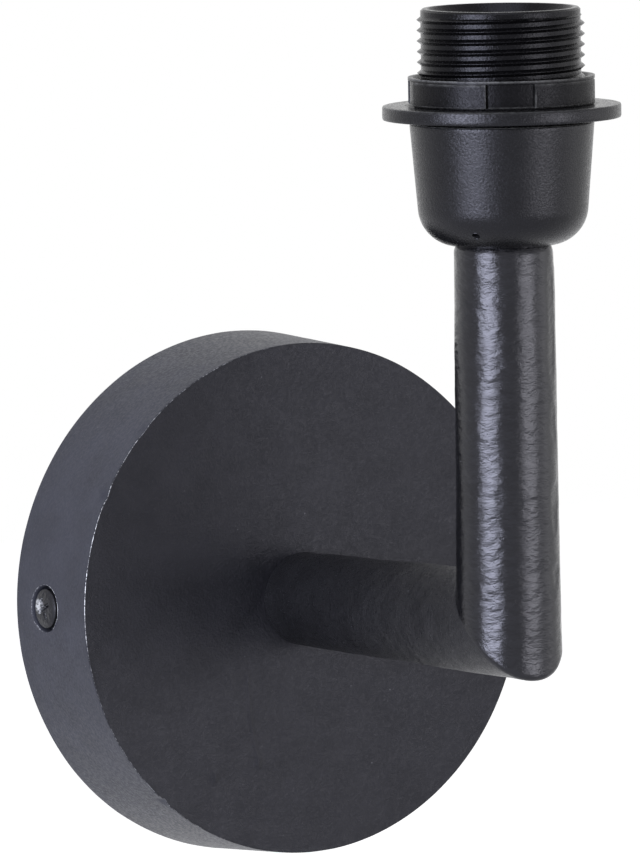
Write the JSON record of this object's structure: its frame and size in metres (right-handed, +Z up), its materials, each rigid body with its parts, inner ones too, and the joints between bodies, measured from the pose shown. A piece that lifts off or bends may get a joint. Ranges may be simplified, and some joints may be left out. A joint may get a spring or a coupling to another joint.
{
  "type": "wall light",
  "caption": "Wall light bracket: round canopy on a wall bracket, mitred tube arm and upright, and an upright screw-skirt lampholder with a shade ring.",
  "frame": {"origin": "centre of the canopy's back on the wall plane, midway between the two wall-screw slots", "axes": "+Z up the upright to the lamp socket, -Y out from the wall along the arm, +X to the right seen from the front"},
  "size_m": [0.125, 0.1503, 0.2085],
  "materials": {
    "bracket_steel": "zinc-plated pressed steel",
    "black_canopy": "matt black powder coat over hand-worked steel, rubbed at the edges",
    "black_tube": "black coat over hand-hammered steel, satin",
    "dark_screw": "blackened steel screw, worn on the head",
    "zinc_hardware": "zinc-plated steel hardware",
    "brass": "plain brass",
    "contact_brass": "sprung brass strip",
    "black_plastic": "moulded black thermoplastic, fine spark-eroded grain",
    "white_plastic": "natural white nylon",
    "contact_plastic": "heat-resistant moulding",
    "live_insulation": "brown silicone insulation",
    "neutral_insulation": "blue silicone insulation",
    "earth_insulation": "green and yellow silicone insulation"
  },
  "bodies": {
    "bracket": {"wall_bracket": "bracket_steel", "earth_screw": "brass", "earth_clamp_washer": "zinc_hardware"},
    "fixture": {"canopy": "black_canopy", "arm_tube": "black_tube", "upright_tube": "black_tube", "arm_end_plug": "zinc_hardware", "upright_top_plug": "zinc_hardware", "rear_nipple": "zinc_hardware", "top_nipple": "zinc_hardware", "rear_toothed_washer": "zinc_hardware", "earth_tag": "brass", "rear_lock_nut": "zinc_hardware", "nipple_bush": "black_plastic", "terminal_block": "white_plastic", "terminal_sleeves": "brass", "terminal_block_screws": "zinc_hardware", "block_stud": "zinc_hardware", "block_nut": "zinc_hardware", "lampholder_dome": "black_plastic", "dome_thread_insert": "zinc_hardware", "insert_lock_screw": "zinc_hardware", "live_wire": "live_insulation", "neutral_wire": "neutral_insulation", "earth_wire": "earth_insulation"},
    "left_screw": {"side_screw_left": "dark_screw"},
    "left_nut": {"side_nut_left": "zinc_hardware"},
    "right_screw": {"side_screw_right": "dark_screw"},
    "right_nut": {"side_nut_right": "zinc_hardware"},
    "contact_insert": {"contact_block": "contact_plastic", "terminal_screws": "brass", "side_contact": "contact_brass"},
    "contact_tongue": {"centre_contact": "contact_brass"},
    "skirt": {"lampholder_skirt": "black_plastic"},
    "ring_flange": {"shade_ring_flange": "black_plastic"},
    "ring_collar": {"shade_ring_collar": "black_plastic"}
  },
  "joints": [
    {"name": "canopy_pull", "type": "slide", "parent": "bracket", "child": "fixture", "axis": [0, -1, 0], "range_m": [0, 0.06]},
    {"name": "left_screw_turn", "type": "hinge", "parent": "fixture", "child": "left_screw", "pos_m": [-0.06, -0.012, 0], "axis": [-1, 0, 0], "range_deg": [0, 1440]},
    {"name": "left_nut_travel", "type": "slide", "parent": "fixture", "child": "left_nut", "axis": [1, 0, 0], "range_m": [0, 0.0032]},
    {"name": "right_screw_turn", "type": "hinge", "parent": "fixture", "child": "right_screw", "pos_m": [0.06, -0.012, 0], "axis": [1, 0, 0], "range_deg": [0, 1440]},
    {"name": "right_nut_travel", "type": "slide", "parent": "fixture", "child": "right_nut", "axis": [-1, 0, 0], "range_m": [0, 0.0032]},
    {"name": "insert_lift", "type": "slide", "parent": "fixture", "child": "contact_insert", "axis": [0, 0, 1], "range_m": [0, 0.005], "deforming": ["live_wire", "neutral_wire"]},
    {"name": "skirt_turn", "type": "hinge", "parent": "contact_insert", "child": "skirt", "pos_m": [0, -0.1222, 0.13], "axis": [0, 0, 1], "range_deg": [0, 720]},
    {"name": "centre_contact_press", "type": "hinge", "parent": "contact_insert", "child": "contact_tongue", "pos_m": [0, -0.1277, 0.11605], "axis": [-1, 0, 0], "range_deg": [0, 8], "stiffness_Nm_per_rad": 0.25},
    {"name": "ring_travel", "type": "slide", "parent": "skirt", "child": "ring_flange", "axis": [0, 0, 1], "range_m": [0, 0.02]},
    {"name": "ring_turn", "type": "hinge", "parent": "ring_flange", "child": "ring_collar", "pos_m": [0, -0.1222, 0.126], "axis": [0, 0, 1], "range_deg": [0, 2880]}
  ],
  "couplings": [
    {"joint": "left_screw_turn", "follows": "left_nut_travel", "rad_per_m": 7854},
    {"joint": "right_screw_turn", "follows": "right_nut_travel", "rad_per_m": 7854},
    {"joint": "skirt_turn", "follows": "insert_lift", "rad_per_m": 2513.3},
    {"joint": "ring_turn", "follows": "ring_travel", "rad_per_m": 2513.3}
  ]
}
